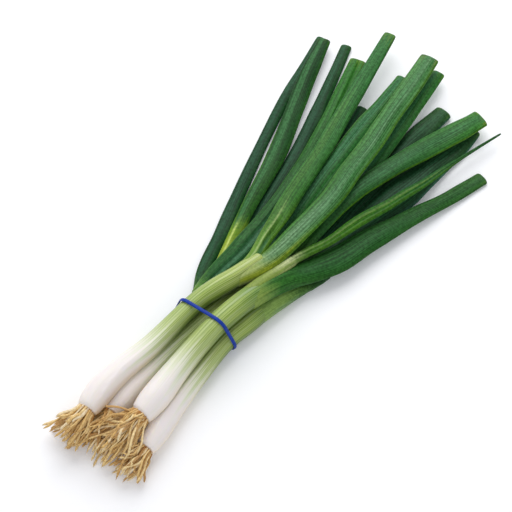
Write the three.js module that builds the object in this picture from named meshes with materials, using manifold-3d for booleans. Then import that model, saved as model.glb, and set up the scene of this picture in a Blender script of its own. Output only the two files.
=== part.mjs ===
// A bunch of five spring onions held by one rubber band, lying on a table.
// +X runs from the root ends to the leaf tips, +Z is up and the table is z = 0.
// All lengths are in millimetres.

import * as THREE from 'three';
import { mergeVertices } from 'three/addons/utils/BufferGeometryUtils.js';
import Module from 'manifold-3d';

const wasm = await Module();
wasm.setup();

// Driving dimensions

const GAP = 0.35;
const SHIFT_X = -12.1;
const MERGE_TOLERANCE = 1e-4;

const STEM_SIDES = 12;
const STEM_STEPS = 14;

const LEAF_SIDES = 8;
const LEAF_STEPS = 14;
const LEAF_WALL = 0.8;
const LEAF_FLATNESS = 0.25;

const PLATE_RIM = 0.2;
const PLATE_DEPTH = 2.4;
const STRAND_SIDES = 3;
const STRAND_STEPS = 4;
const STRAND_ROOT_RADIUS = 0.85;
const STRAND_TIP_RADIUS = 0.65;
const STRAND_SINK = 1.4;
const STRAND_TRIES = 80;
const STRAND_SHORTEST = 0.6;
const STRAND_LIFT = 0.2;
const STRAND_LEAVE = 4;
const SEAT_SPLAY = 0.3;
const TIP_SPLAY = 1.6;
const MIDDLE_SWAY = 2;
const MIDDLE_RISE = 1.5;
const GOLDEN_ANGLE = Math.PI * (3 - Math.sqrt(5));
const ROOT_SEED = 7;

const BAND_X = -54.8;
const BAND_LEAN = -0.03;
const BAND_WIDTH = 2.4;
const BAND_THICKNESS = 1.1;
const BAND_SIDES = 6;
const BAND_STEPS = 48;
const LOOP_RADIUS = 10;
const SEARCH_STEP = 0.002;

const TABLE_SIZE = 600;
const ROOM_HEIGHT = 50;

const COLOURS = {
  stem: '#cfdba6',
  roots: '#d9b77e',
  leaf: '#3f7f3f',
  band: '#2b4bc0',
};

// Each onion: the centre line of its bulb and stalk as [x, y, z, radius] from the
// root plate to the collar where the leaves part, the tuft of roots, and the leaves
// as [x, y, z, width] from inside the collar to the cut or pointed tip.

const ONIONS = [
  {
    stem: [
      [-140, 10, 16, 5.3], [-137, 10.5, 16, 7], [-131, 11.5, 16.3, 7.9], [-122, 12, 16.8, 7.9],
      [-108, 11, 17.2, 7.2], [-86, 7.5, 17.6, 6.4], [-53, 5.5, 18.4, 5.9], [-37, 2, 19, 6.3],
      [-22, -3, 19, 6.5], [-7, -7, 19, 6.1],
    ],
    tuft: { count: 26, length: 23, reach: [-18, 3, -11], spread: [3, 9, 4] },
    leaves: [
      [
        [-46, 9.4, 14.2, 6.5], [-30, 10.8, 13, 9.5], [-6, 9.2, 13, 14.2], [9, 10, 12.5, 13],
        [26, 11, 11.5, 12], [51, 14, 10, 12], [75, 18, 9, 12], [103, 24, 9, 12.2],
        [127, 31, 8.5, 12], [159, 40.5, 8, 11.4],
      ],
      [
        [-6, -3, 20.5, 7], [9, 0, 20.5, 9], [27, 3, 18.5, 11.4], [45, 7, 16.5, 12.4],
        [69, 11, 15, 12], [87, 14, 14.5, 11.6], [114, 20, 14, 11.2], [144, 26, 13.5, 10.6],
        [186, 34.5, 13.5, 8.2],
      ],
      [
        [-9, -8, 18, 8.5], [2, -11, 19, 11], [22, -13, 20, 13.6], [55, -14, 19.5, 13.9],
        [80, -11, 19, 14.1], [104, -9, 18, 14.2], [130, -5, 17, 13.8], [157, -2, 16.5, 13.6],
        [184.5, 2, 16, 12.6],
      ],
    ],
  },
  {
    stem: [
      [-131, 1, 7.8, 5], [-128, 1.5, 7.4, 6.6], [-122, 2, 7.2, 7.5], [-113, 2.5, 7.2, 7.7],
      [-99, 1.5, 7.6, 7.1], [-78, 0, 7.9, 6.5], [-52, -2.5, 8, 6.1], [-32, -5, 7.8, 5.9],
      [-12, -8, 7.5, 5.5],
    ],
    tuft: { count: 24, length: 24, reach: [-22, -6, -6], spread: [5, 5, 4] },
    leaves: [
      [
        [-14, -5, 9.5, 6], [0, -5, 9.5, 6.4], [20, -3.5, 9.5, 8.4], [42, -1.5, 10, 10.4],
        [68, 1.5, 11, 12.6], [88, 2.5, 11.5, 13.4], [113, 4.5, 11.5, 13.6], [132, 5.2, 11.5, 11.8],
        [150, 6.2, 11.5, 10], [162.5, 7.3, 11.5, 9],
      ],
      [
        [-14, -8, 6, 4.5], [0, -7, 4.6, 5], [40, -2.5, 4.6, 6.4], [81, 6, 5, 9],
        [112, 12.6, 5, 9.8], [131, 16.6, 5, 7.6],
      ],
      [
        [-14, -11, 7, 4.5], [0, -12, 6.5, 5.4], [27, -13.5, 6.5, 7.4], [62, -17, 7.2, 8.3],
        [87, -17, 8, 8.4], [111, -15, 8.2, 9.2], [130, -13, 8.2, 9.2], [155, -9.7, 8, 9.8],
        [183.5, -6.6, 7.5, 9],
      ],
    ],
  },
  {
    stem: [
      [-124, -16, 17, 5.6], [-121, -16, 17, 7.3], [-114, -15.5, 17.3, 8.3], [-105, -15, 17.6, 8.3],
      [-90, -14, 18.3, 7.4], [-72, -13.5, 19.1, 6.9], [-54, -14, 20, 6.8], [-35, -16, 18.8, 6.8],
      [-18, -19, 16.5, 6.7], [-5, -22, 14.5, 5.8],
    ],
    tuft: { count: 26, length: 34, reach: [-33, 6, -15], spread: [6, 7, 4] },
    leaves: [
      [
        [-8, -18, 13, 6], [18, -19, 12.5, 8.6], [44, -18.5, 13, 10.7], [64, -19, 13, 12],
        [82, -22, 12.5, 12.8], [107, -28.5, 11, 13.8], [139, -39, 9.8, 15], [156, -45, 9.4, 14.4],
        [169, -49, 9.2, 13],
      ],
      [
        [-8, -20, 17, 6], [12, -21.8, 16.5, 7], [33, -30, 15.5, 6.2], [57, -35, 13.5, 8],
        [77, -41.5, 12.3, 7.4], [91, -45.2, 11.6, 6.6], [105, -49.2, 10.8, 5.7], [120, -52.4, 10, 4.5],
        [134, -55.7, 9.2, 2.8], [149, -59.7, 8.6, 2.1], [167.5, -65, 8, 1.4],
      ],
      [
        [-12, -23, 12.5, 8], [0, -26.5, 10.8, 13], [15, -33, 9.6, 17.6], [31, -40, 8.6, 18.4],
        [52, -45.5, 7.4, 16.4], [71, -52, 6.2, 13.2], [89, -58, 5, 11.2], [107, -64.3, 3, 10.3],
        [122, -68.8, 1.9, 9.9], [137, -73.3, 1.5, 9.2],
      ],
    ],
  },
  {
    stem: [
      [-135, -28, 7.5, 5], [-132, -27.5, 7.3, 6.6], [-126, -26.5, 7.3, 7.5],
      [-117, -25, 7.4, 7.8], [-104, -23.5, 7.6, 7], [-83, -22, 8, 6.2], [-57, -21, 8.2, 5.7],
      [-38, -23.5, 7.8, 6], [-21, -26, 7, 5.9], [-7, -28, 6.2, 5.3],
    ],
    tuft: { count: 24, length: 20, reach: [-20, 1, -6], spread: [4, 4, 3] },
    leaves: [
      [
        [-10, -26.5, 5, 5.4], [5, -24.5, 3.4, 7], [22, -23.5, 2.6, 8.8], [55, -23, 2.6, 11.5],
        [94, -22, 2.4, 13], [120, -21.5, 2.4, 13.4], [140, -23.3, 2.4, 14.2], [163.5, -25.6, 2.3, 11],
      ],
      [
        [-10, -29, 7.2, 5], [5, -29.5, 5, 6.6], [16, -30, 3.6, 8.4], [42, -32.2, 2.8, 13.6],
        [65, -34.6, 2.6, 18.4], [88, -38.6, 2.6, 23.4], [106, -41.6, 2.6, 22], [126, -44.6, 2.5, 17.4],
        [143, -47.6, 2.4, 14], [163.5, -49.2, 2.3, 9],
      ],
      [
        [-14, -28.6, 6, 7.6], [-3, -31.2, 4.6, 8.4], [8, -35, 3.2, 8], [21, -39.5, 2.2, 5.4],
      ],
    ],
  },
  {
    stem: [
      [-103, 13.8, 4.6, 3.6], [-100, 13.6, 5, 4.8], [-95, 13.2, 5.6, 5.7], [-87, 12.4, 6.2, 5.9],
      [-73, 10.5, 7, 5.4], [-53, 9.8, 7.2, 5], [-40, 9.8, 7.2, 5], [-27, 9.5, 7.4, 4.9],
    ],
    tuft: { count: 12, length: 18, reach: [-14, 1, -3], spread: [3, 4, 2] },
    leaves: [
      [
        [-41, 12.6, 7, 5], [-24, 20.6, 5.5, 8.2], [-1, 27.6, 4, 9.2], [25, 36.7, 2, 8.8],
        [64, 49.2, 1.35, 8], [107, 61.6, 1.25, 7.4], [131, 66.6, 1.2, 6.8], [163, 73.7, 1.1, 6],
      ],
      [
        [-30, 9, 9, 4.4], [-12, 14.8, 8.2, 8], [9, 21.2, 7.4, 9], [28, 27.2, 6.2, 9.4],
        [67, 37.4, 4.4, 12.6], [103, 50.1, 4.8, 11.6], [130.5, 59.8, 6.2, 11.8], [160, 68.8, 6.2, 8.4],
      ],
      [
        [-30, 7, 6, 4], [-20, 9, 4.6, 6.4], [2, 14.2, 3, 8.2], [31, 20.4, 1.8, 9.4],
        [75, 28.7, 1.5, 9.4], [102, 35.6, 1.4, 9.8], [120, 41.2, 1.4, 9], [143, 48.3, 1.35, 8.2],
        [168, 56.4, 1.2, 7],
      ],
    ],
  },
];

// Manifold helpers

function toSolid(geometry) {
  const plain = geometry.clone();
  plain.deleteAttribute('normal');
  plain.deleteAttribute('uv');
  const merged = mergeVertices(plain, MERGE_TOLERANCE);
  return new wasm.Manifold(new wasm.Mesh({
    numProp: 3,
    vertProperties: new Float32Array(merged.attributes.position.array),
    triVerts: new Uint32Array(merged.index.array),
  }));
}

function toGeometry(solid) {
  const mesh = solid.getMesh();
  const geometry = new THREE.BufferGeometry();
  geometry.setAttribute('position', new THREE.BufferAttribute(mesh.vertProperties, 3));
  geometry.setIndex(new THREE.BufferAttribute(mesh.triVerts, 1));
  geometry.computeVertexNormals();
  return geometry;
}

function largestBody(solid) {
  const bodies = solid.decompose();
  return bodies.reduce((best, body) => (body.volume() > best.volume() ? body : best));
}

// A closed bar along a curve: a cylinder whose rings are moved onto the centre line,
// flattened to the width and thickness that size(t) gives there.

function bar(centre, size, sides, steps, grow = 0) {
  const geometry = new THREE.CylinderGeometry(1, 1, 1, sides, steps);
  const position = geometry.attributes.position;
  const up = new THREE.Vector3(0, 0, 1);
  const side = new THREE.Vector3();
  const over = new THREE.Vector3();
  const point = new THREE.Vector3();
  for (let i = 0; i < position.count; i += 1) {
    const t = Math.min(1, Math.max(0, position.getY(i) + 0.5));
    const along = centre.getTangent(t);
    side.crossVectors(along, up).normalize();
    over.crossVectors(side, along);
    const { width, thickness } = size(t);
    point.copy(centre.getPoint(t));
    point.addScaledVector(side, position.getX(i) * (width / 2 + grow));
    point.addScaledVector(over, position.getZ(i) * (thickness / 2 + grow));
    if (t === 0 || t === 1) point.addScaledVector(along, t === 0 ? -grow : grow);
    position.setXYZ(i, point.x, point.y, point.z);
  }
  return toSolid(geometry);
}

function throughPoints(rows) {
  const points = rows.map(([x, y, z]) => new THREE.Vector3(x, y, z));
  return new THREE.CatmullRomCurve3(points, false, 'catmullrom');
}

function sizeAlong(rows) {
  const sizes = rows.map(([, , , size]) => new THREE.Vector3(size, 0, 0));
  return new THREE.CatmullRomCurve3(sizes, false, 'catmullrom');
}

const room = new THREE.BoxGeometry(TABLE_SIZE, TABLE_SIZE, ROOM_HEIGHT);
const ABOVE_TABLE = toSolid(room.translate(0, 0, ROOM_HEIGHT / 2));

// Bulb and stalk: round all the way

function stemSolid(rows, grow = 0) {
  const radius = sizeAlong(rows);
  const size = (t) => ({ width: 2 * radius.getPoint(t).x, thickness: 2 * radius.getPoint(t).x });
  return bar(throughPoints(rows), size, STEM_SIDES, STEM_STEPS, grow);
}

// Leaf: a hollow tube in life, pressed nearly flat

function leafSolid(rows, grow = 0) {
  const width = sizeAlong(rows);
  const size = (t) => {
    const w = width.getPoint(t).x;
    return { width: w, thickness: LEAF_WALL + LEAF_FLATNESS * w };
  };
  return bar(throughPoints(rows), size, LEAF_SIDES, LEAF_STEPS, grow);
}

// Roots: strands that leave the basal plate, fan out and sag to the table. A strand
// that would touch a neighbour is drawn again.

function seededDraw(seed) {
  let state = seed;
  return () => {
    state = (state * 16807) % 2147483647;
    return state / 2147483647;
  };
}

function strandSolid(points, grow = 0) {
  const size = (t) => {
    const radius = THREE.MathUtils.lerp(STRAND_ROOT_RADIUS, STRAND_TIP_RADIUS, t);
    return { width: 2 * radius, thickness: 2 * radius };
  };
  const centre = new THREE.CatmullRomCurve3(points);
  return bar(centre, size, STRAND_SIDES, STRAND_STEPS, grow);
}

function basalPlate(onion) {
  const [first, second] = onion.stem.map(([x, y, z]) => new THREE.Vector3(x, y, z));
  const out = first.clone().sub(second).normalize();
  const start = first.clone().addScaledVector(out, GAP + PLATE_DEPTH);
  const end = first.clone().addScaledVector(out, GAP);
  const radius = onion.stem[0][3] - PLATE_RIM;
  const size = () => ({ width: 2 * radius, thickness: 2 * radius });
  return { out, start, radius, solid: bar(new THREE.LineCurve3(start, end), size, STEM_SIDES, 1) };
}

function rootSolid(onion, plate, neighbours, draw) {
  let tuft = plate.solid;
  const { out, start: plateStart, radius: plateRadius } = plate;
  const { count, length, reach, spread } = onion.tuft;
  const jitter = () => 2 * draw() - 1;
  const lowest = STRAND_ROOT_RADIUS + STRAND_LIFT;
  const strands = [];
  for (let n = 0; n < count; n += 1) {
    for (let tries = 0; tries < STRAND_TRIES; tries += 1) {
      const angle = GOLDEN_ANGLE * n;
      const offset = (plateRadius - STRAND_ROOT_RADIUS) * Math.sqrt((n + 0.5) / count);
      const seat = new THREE.Vector3(0, Math.cos(angle) * offset, Math.sin(angle) * offset);
      const share = THREE.MathUtils.lerp(STRAND_SHORTEST, 1, draw()) * length / Math.hypot(...reach);
      const base = plateStart.clone().add(seat);
      const start = base.clone().addScaledVector(out, -STRAND_SINK);
      const leave = base.clone().addScaledVector(seat, SEAT_SPLAY).addScaledVector(out, STRAND_LEAVE);
      const end = plateStart.clone().addScaledVector(seat, TIP_SPLAY);
      end.x += reach[0] * share + spread[0] * jitter();
      end.y += reach[1] * share + spread[1] * jitter();
      end.z = Math.max(lowest, end.z + reach[2] * share + spread[2] * jitter());
      const middle = leave.clone().lerp(end, 0.5);
      middle.y += MIDDLE_SWAY * jitter();
      middle.z = Math.max(lowest, middle.z + MIDDLE_RISE + jitter());
      const points = [start, leave, middle, end];
      const grown = strandSolid(points, GAP);
      const free = strandSolid([leave, middle, end]);
      const clear = neighbours.every((other) => grown.intersect(other).isEmpty())
        && strands.every((other) => free.intersect(other).isEmpty());
      if (clear) {
        tuft = tuft.add(strandSolid(points));
        strands.push(free);
        break;
      }
    }
  }
  return largestBody(tuft);
}

// Rubber band: a ring stretched round the stalks, along the outline that a taut loop
// takes over their circles, leaning a little towards the roots on one side

function bandSolid() {
  const circles = ONIONS.map(({ stem }) => {
    const centre = throughPoints(stem);
    const radius = sizeAlong(stem);
    let t = 0;
    while (centre.getPoint(t).x < BAND_X) t += SEARCH_STEP;
    const point = centre.getPoint(t);
    return { y: point.y, z: point.z, r: radius.getPoint(t).x + GAP + BAND_THICKNESS / 2 };
  });
  const middleY = circles.reduce((sum, circle) => sum + circle.y, 0) / circles.length;
  const path = (angle) => {
    const c = Math.cos(angle);
    const s = Math.sin(angle);
    const reach = (circle) => circle.y * c + circle.z * s + circle.r;
    const outer = circles.reduce((best, circle) => (reach(circle) > reach(best) ? circle : best));
    const y = outer.y + outer.r * c;
    return new THREE.Vector3(BAND_X + BAND_LEAN * (y - middleY), y, outer.z + outer.r * s);
  };
  const geometry = new THREE.TorusGeometry(LOOP_RADIUS, 1, BAND_SIDES, BAND_STEPS);
  const position = geometry.attributes.position;
  for (let i = 0; i < position.count; i += 1) {
    const angle = Math.atan2(position.getY(i), position.getX(i));
    const outward = Math.hypot(position.getX(i), position.getY(i)) - LOOP_RADIUS;
    const point = path(angle);
    point.x += position.getZ(i) * BAND_WIDTH / 2;
    point.y += Math.cos(angle) * outward * BAND_THICKNESS / 2;
    point.z += Math.sin(angle) * outward * BAND_THICKNESS / 2;
    position.setXYZ(i, point.x, point.y, point.z);
  }
  return toSolid(geometry);
}

// A piece gives way where it is pressed by one that is already in place

function givesWay(solid, placed) {
  let shaped = solid;
  for (const other of placed) {
    if (!shaped.intersect(other).isEmpty()) shaped = shaped.subtract(other);
  }
  return largestBody(shaped.intersect(ABOVE_TABLE));
}

const bunch = new THREE.Group();
bunch.position.x = SHIFT_X;

function place(name, solid, colour) {
  const material = new THREE.MeshStandardMaterial({ color: colour, roughness: 0.5, metalness: 0 });
  const mesh = new THREE.Mesh(toGeometry(solid), material);
  mesh.name = name;
  bunch.add(mesh);
}

const grownLeaves = [];
ONIONS.forEach(({ leaves }, onionIndex) => {
  leaves.forEach((rows, leafIndex) => {
    const leaf = givesWay(leafSolid(rows), grownLeaves);
    grownLeaves.push(leafSolid(rows, GAP));
    place(`onion_${onionIndex + 1}_leaf_${leafIndex + 1}`, leaf, COLOURS.leaf);
  });
});

const grownStems = [];
ONIONS.forEach(({ stem }, onionIndex) => {
  const stalk = givesWay(stemSolid(stem), [...grownLeaves, ...grownStems]);
  grownStems.push(stemSolid(stem, GAP));
  place(`onion_${onionIndex + 1}_stem`, stalk, COLOURS.stem);
});

const draw = seededDraw(ROOT_SEED);
const plates = ONIONS.map(basalPlate);
const placedRoots = [];
ONIONS.forEach((onion, onionIndex) => {
  const laterPlates = plates.slice(onionIndex + 1).map((plate) => plate.solid);
  const neighbours = [...grownStems, ...placedRoots, ...laterPlates];
  const roots = rootSolid(onion, plates[onionIndex], neighbours, draw);
  placedRoots.push(roots);
  place(`onion_${onionIndex + 1}_roots`, roots.intersect(ABOVE_TABLE), COLOURS.roots);
});

place('rubber_band', bandSolid(), COLOURS.band);

export default bunch;
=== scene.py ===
import math

import bpy
import numpy as np
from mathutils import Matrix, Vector


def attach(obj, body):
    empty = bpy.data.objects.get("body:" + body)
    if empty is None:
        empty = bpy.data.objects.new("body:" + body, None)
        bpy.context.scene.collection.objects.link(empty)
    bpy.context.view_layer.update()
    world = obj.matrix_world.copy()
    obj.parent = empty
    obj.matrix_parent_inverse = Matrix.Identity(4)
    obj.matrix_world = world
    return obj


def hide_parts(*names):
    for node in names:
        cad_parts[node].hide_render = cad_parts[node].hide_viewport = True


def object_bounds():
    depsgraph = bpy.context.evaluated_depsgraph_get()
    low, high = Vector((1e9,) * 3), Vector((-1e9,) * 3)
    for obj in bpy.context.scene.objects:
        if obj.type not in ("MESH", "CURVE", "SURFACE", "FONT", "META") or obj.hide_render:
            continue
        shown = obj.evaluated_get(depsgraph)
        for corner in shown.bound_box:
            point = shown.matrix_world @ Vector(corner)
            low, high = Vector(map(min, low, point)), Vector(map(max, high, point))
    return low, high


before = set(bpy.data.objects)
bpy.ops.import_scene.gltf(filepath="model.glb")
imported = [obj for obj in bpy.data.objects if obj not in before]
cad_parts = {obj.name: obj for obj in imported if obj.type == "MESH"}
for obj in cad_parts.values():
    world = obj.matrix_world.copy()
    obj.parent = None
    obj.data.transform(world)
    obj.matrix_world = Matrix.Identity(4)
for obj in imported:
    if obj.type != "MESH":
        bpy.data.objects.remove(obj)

cad_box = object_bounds()
bpy.ops.object.select_all(action="DESELECT")

# Camera: looks down on the bunch as it lies on the table, root ends to the lower
# left. The centre lines below are written in millimetres from a point beside the
# origin, and SHIFT_X moves them onto it.

MM = 0.001
SHIFT_X = -12.1
VIEW_AZIMUTH = math.radians(-51.5)
VIEW_ELEVATION = math.radians(60)
VIEW_DISTANCE = 853 * MM
VIEW_LENS = 100
AIM = Vector((SHIFT_X, 0, 10)) * MM

sight = Vector((
    -math.sin(VIEW_AZIMUTH) * math.cos(VIEW_ELEVATION),
    math.cos(VIEW_AZIMUTH) * math.cos(VIEW_ELEVATION),
    -math.sin(VIEW_ELEVATION),
))
bpy.ops.object.camera_add(location=AIM - sight * VIEW_DISTANCE)
camera = bpy.context.object
camera.rotation_euler = sight.to_track_quat("-Z", "Y").to_euler()
camera.data.lens = VIEW_LENS
bpy.context.scene.camera = camera
bpy.ops.object.select_all(action="DESELECT")

# Bulbs and stalks: the white foot of each onion swells a little above its root
# plate and runs on as a stalk of leaf sheaths wrapped one over the other. The skin
# is thin, moist and finely ribbed along its length, white below and green above.

STALK_SIDES = 48
STALK_STEPS = 80
SHEATH_WALL = 2.4
SHEATH_STEP = 0.45
MERGE_REACH = 0.01
UP = np.array([0.0, 0.0, 1.0])


def along(rows, t):
    """Places and directions on the smooth curve that runs through the rows."""
    rows = np.asarray(rows, float)
    knots = np.vstack([2 * rows[0] - rows[1], rows, 2 * rows[-1] - rows[-2]])
    place = np.clip(t, 0, 1) * (len(rows) - 1)
    first = np.minimum(place.astype(int), len(rows) - 2)
    u = (place - first)[:, None]
    before, start, end, after = (knots[first + step] for step in range(4))
    leave = (end - start + start - before) / 2
    arrive = (after - start) / 2
    point = (2 * u**3 - 3 * u**2 + 1) * start + (u**3 - 2 * u**2 + u) * leave
    point += (3 * u**2 - 2 * u**3) * end + (u**3 - u**2) * arrive
    slope = (6 * u**2 - 6 * u) * (start - end) + (3 * u**2 - 4 * u + 1) * leave
    slope += (3 * u**2 - 2 * u) * arrive
    return point, slope[:, :3] / np.linalg.norm(slope[:, :3], axis=1, keepdims=True)


def smooth(low, high, value):
    """0 below low, 1 above high and an even curve between them."""
    share = np.clip((value - low) / (high - low), 0, 1)
    return share * share * (3 - 2 * share)


def close_seams(piece):
    """Merges a piece's doubled points, turns its faces outwards and smooths it."""
    bpy.context.view_layer.objects.active = piece
    bpy.ops.object.mode_set(mode="EDIT")
    bpy.ops.mesh.select_all(action="SELECT")
    bpy.ops.mesh.remove_doubles(threshold=MERGE_REACH * MM)
    bpy.ops.mesh.normals_make_consistent(inside=False)
    bpy.ops.object.mode_set(mode="OBJECT")
    bpy.ops.object.shade_smooth()


def rolled_sheet(name, sides, steps, rows, section):
    """A flat sheet rolled into a tube along a centre line, seam underneath. The rows
    give the line's points and the width there, and section gives the tube's form."""
    bpy.ops.mesh.primitive_grid_add(x_subdivisions=steps, y_subdivisions=sides, size=1)
    piece = bpy.context.object
    piece.name = name
    piece.data.name = name
    flat = np.empty(3 * len(piece.data.vertices))
    piece.data.vertices.foreach_get("co", flat)
    flat = flat.reshape(-1, 3)
    t = flat[:, 0] + 0.5
    angle = 2 * math.pi * flat[:, 1]
    point, tangent = along(rows, t)
    side = np.cross(tangent, UP)
    side /= np.linalg.norm(side, axis=1, keepdims=True)
    over = np.cross(side, tangent)
    across, upward, onward = section(t, angle, point[:, 3])
    place = point[:, :3] + tangent * onward[:, None]
    place += side * across[:, None] + over * upward[:, None]
    place[:, 0] += SHIFT_X
    place[:, 2] = np.maximum(place[:, 2], 0)
    piece.data.vertices.foreach_set("co", (place * MM).ravel())
    close_seams(piece)
    return piece


def refine(piece, kind, **settings):
    """Adds a modifier with its settings and applies it."""
    bpy.ops.object.select_all(action="DESELECT")
    piece.select_set(True)
    bpy.context.view_layer.objects.active = piece
    modifier = piece.modifiers.new(kind.title(), kind)
    for key, value in settings.items():
        setattr(modifier, key, value)
    bpy.ops.object.modifier_apply(modifier=modifier.name)


def finish_piece(piece, material, cad_node):
    """Gives a piece its finish and its body, and hides the CAD node that it stands for."""
    piece.data.materials.clear()
    piece.data.materials.append(material)
    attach(piece, "root")
    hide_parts(cad_node)
    bpy.ops.object.select_all(action="DESELECT")


def linear(hex_colour):
    """An sRGB hex colour as linear red, green, blue and alpha."""
    parts = [int(hex_colour[i:i + 2], 16) / 255 for i in (1, 3, 5)]
    return tuple(c / 12.92 if c <= 0.04045 else ((c + 0.055) / 1.055) ** 2.4 for c in parts) + (1,)


def new_material(name):
    """An empty node material and its shader."""
    material = bpy.data.materials.new(name)
    material.use_nodes = True
    return material, material.node_tree.nodes["Principled BSDF"]


def node(material, kind, settings=None, **links):
    """Adds a node. Links name an input, or give its number after an underscore, and
    say what goes in: a value or another node's output."""
    tree = material.node_tree
    added = tree.nodes.new(kind)
    for key, value in (settings or {}).items():
        if key == "stops":
            ramp = added.color_ramp
            while len(ramp.elements) < len(value):
                ramp.elements.new(0.5)
            for element, (position, colour) in zip(ramp.elements, value):
                element.position = position
                element.color = linear(colour)
        else:
            setattr(added, key, value)
    for key, value in links.items():
        socket = added.inputs[int(key[1:]) if key[1:].isdigit() else key.replace("_", " ")]
        if isinstance(value, bpy.types.NodeSocket):
            tree.links.new(value, socket)
        else:
            socket.default_value = value
    return added


def skin_streaks(material, around, lengthwise, detail=3.0):
    """Streaks that run along a piece: noise on its own map, with so many cells around
    the piece and so many along it."""
    place = node(material, "ShaderNodeUVMap", {"uv_map": "UVMap"})
    stretched = node(
        material, "ShaderNodeMapping", Vector=place.outputs["UV"], Scale=(lengthwise, around, 1),
    )
    return node(
        material, "ShaderNodeTexNoise", {"noise_dimensions": "2D"},
        Vector=stretched.outputs["Vector"], Scale=1.0, Detail=detail, Roughness=0.6,
    ).outputs["Fac"]


# The green of the stalks comes between these places on the centre lines, in streaks
# that move it to and fro by a share of that length. Around a stalk lie so many broad
# streaks, about 1.7 mm wide, and so many fine ribs, about 0.45 mm apart.
WHITE_END = -150
GREEN_END = 10
STREAK_SHIFT = 0.24
STALK_STREAKS = 24
STALK_RIBS = 90


def stalk_skin(name, collar_colour):
    """Onion sheath: moist, slightly see-through skin over white flesh. Soft gloss,
    fine ribs and green that comes in streaks above the bulb. Painted shade tints its
    sides and underside: deeper green on the stalk, cream on the bulb."""
    material, shader = new_material(name)
    place = node(material, "ShaderNodeTexCoord").outputs["Object"]
    axes = node(material, "ShaderNodeSeparateXYZ", Vector=place)
    own_map = node(material, "ShaderNodeUVMap", {"uv_map": "UVMap"}).outputs["UV"]
    lines = node(material, "ShaderNodeSeparateXYZ", Vector=own_map)
    streak = skin_streaks(material, STALK_STREAKS, 1.2)
    fine = skin_streaks(material, STALK_RIBS, 2.0)
    height = node(
        material, "ShaderNodeMapRange", Value=axes.outputs["X"],
        From_Min=(WHITE_END + SHIFT_X) * MM, From_Max=(GREEN_END + SHIFT_X) * MM,
    ).outputs["Result"]
    shift = node(
        material, "ShaderNodeMath", {"operation": "MULTIPLY_ADD"},
        _0=streak, _1=STREAK_SHIFT, _2=-STREAK_SHIFT / 2,
    )
    ripe = node(material, "ShaderNodeMath", {"operation": "ADD"}, _0=height, _1=shift.outputs[0])
    ramp = node(material, "ShaderNodeValToRGB", {"stops": [
        (0.0, "#f2e9da"), (0.10, "#f3e9e6"), (0.28, "#f2eae6"), (0.37, "#e2e3d0"),
        (0.49, "#b6c480"), (0.62, "#a9bc6a"), (0.68, "#a7ba66"), (0.80, collar_colour),
    ]}, Fac=ripe.outputs[0])
    green = node(material, "ShaderNodeValToRGB", {"stops": [
        (0.34, "#000000"), (0.55, "#ffffff"),
    ]}, Fac=ripe.outputs[0]).outputs["Color"]
    # Painted shade: the sides and underside of the stalk, turned from the light, are tinted deeper
    # green, and cream where the bulb is white.
    painted_side_shade_green = node(material, "ShaderNodeValToRGB", {"stops": [
        (0.30, "#86a048"), (0.38, "#ffffff"), (0.64, "#f8faea"), (0.77, "#86a048"),
    ]}, Fac=lines.outputs["Y"]).outputs["Color"]
    painted_side_shade_cream = node(material, "ShaderNodeValToRGB", {"stops": [
        (0.24, "#f2e8ca"), (0.36, "#ffffff"), (0.66, "#ffffff"), (0.80, "#f2ead2"),
    ]}, Fac=lines.outputs["Y"]).outputs["Color"]
    # The painted shade of the sides: cream on the white bulb, green where the stalk turns green.
    sides = node(
        material, "ShaderNodeMix", {"data_type": "RGBA"}, Factor=green, _6=painted_side_shade_cream, _7=painted_side_shade_green,
    )
    side_shaded = node(
        material, "ShaderNodeMix", {"data_type": "RGBA", "blend_type": "MULTIPLY"},
        Factor=1.0, _6=ramp.outputs["Color"], _7=sides.outputs[2],
    )
    rib_shade = node(material, "ShaderNodeValToRGB", {"stops": [
        (0.36, "#b4c68e"), (0.56, "#ffffff"),
    ]}, Fac=fine).outputs["Color"]
    ribbed = node(
        material, "ShaderNodeMix", {"data_type": "RGBA", "blend_type": "MULTIPLY"},
        Factor=green, _6=side_shaded.outputs[2], _7=rib_shade,
    )
    light_streak = node(material, "ShaderNodeValToRGB", {"stops": [
        (0.5, "#000000"), (0.64, "#ffffff"),
    ]}, Fac=streak).outputs["Color"]
    faint = node(
        material, "ShaderNodeMath", {"operation": "MULTIPLY"}, _0=light_streak, _1=0.16,
    )
    streaked = node(
        material, "ShaderNodeMix", {"data_type": "RGBA"},
        Factor=faint.outputs[0], _6=ribbed.outputs[2], _7=linear("#e4e8cc"),
    )
    foot = node(material, "ShaderNodeValToRGB", {"stops": [
        (0.0, "#c8c8c8"), (0.012, "#606060"), (0.035, "#000000"),
    ]}, Fac=lines.outputs["X"])
    footed = node(
        material, "ShaderNodeMix", {"data_type": "RGBA"},
        Factor=foot.outputs["Color"], _6=streaked.outputs[2], _7=linear("#cdae7c"),
    )
    material.node_tree.links.new(footed.outputs[2], shader.inputs["Base Color"])
    bump = node(material, "ShaderNodeBump", Strength=0.15, Distance=0.2 * MM, Height=fine)
    material.node_tree.links.new(bump.outputs["Normal"], shader.inputs["Normal"])
    shader.inputs["Roughness"].default_value = 0.4
    shader.inputs["IOR"].default_value = 1.4
    shader.inputs["Subsurface Weight"].default_value = 0.5
    shader.inputs["Subsurface Radius"].default_value = (1.0, 0.9, 0.7)
    shader.inputs["Subsurface Scale"].default_value = 3 * MM
    return material


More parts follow.
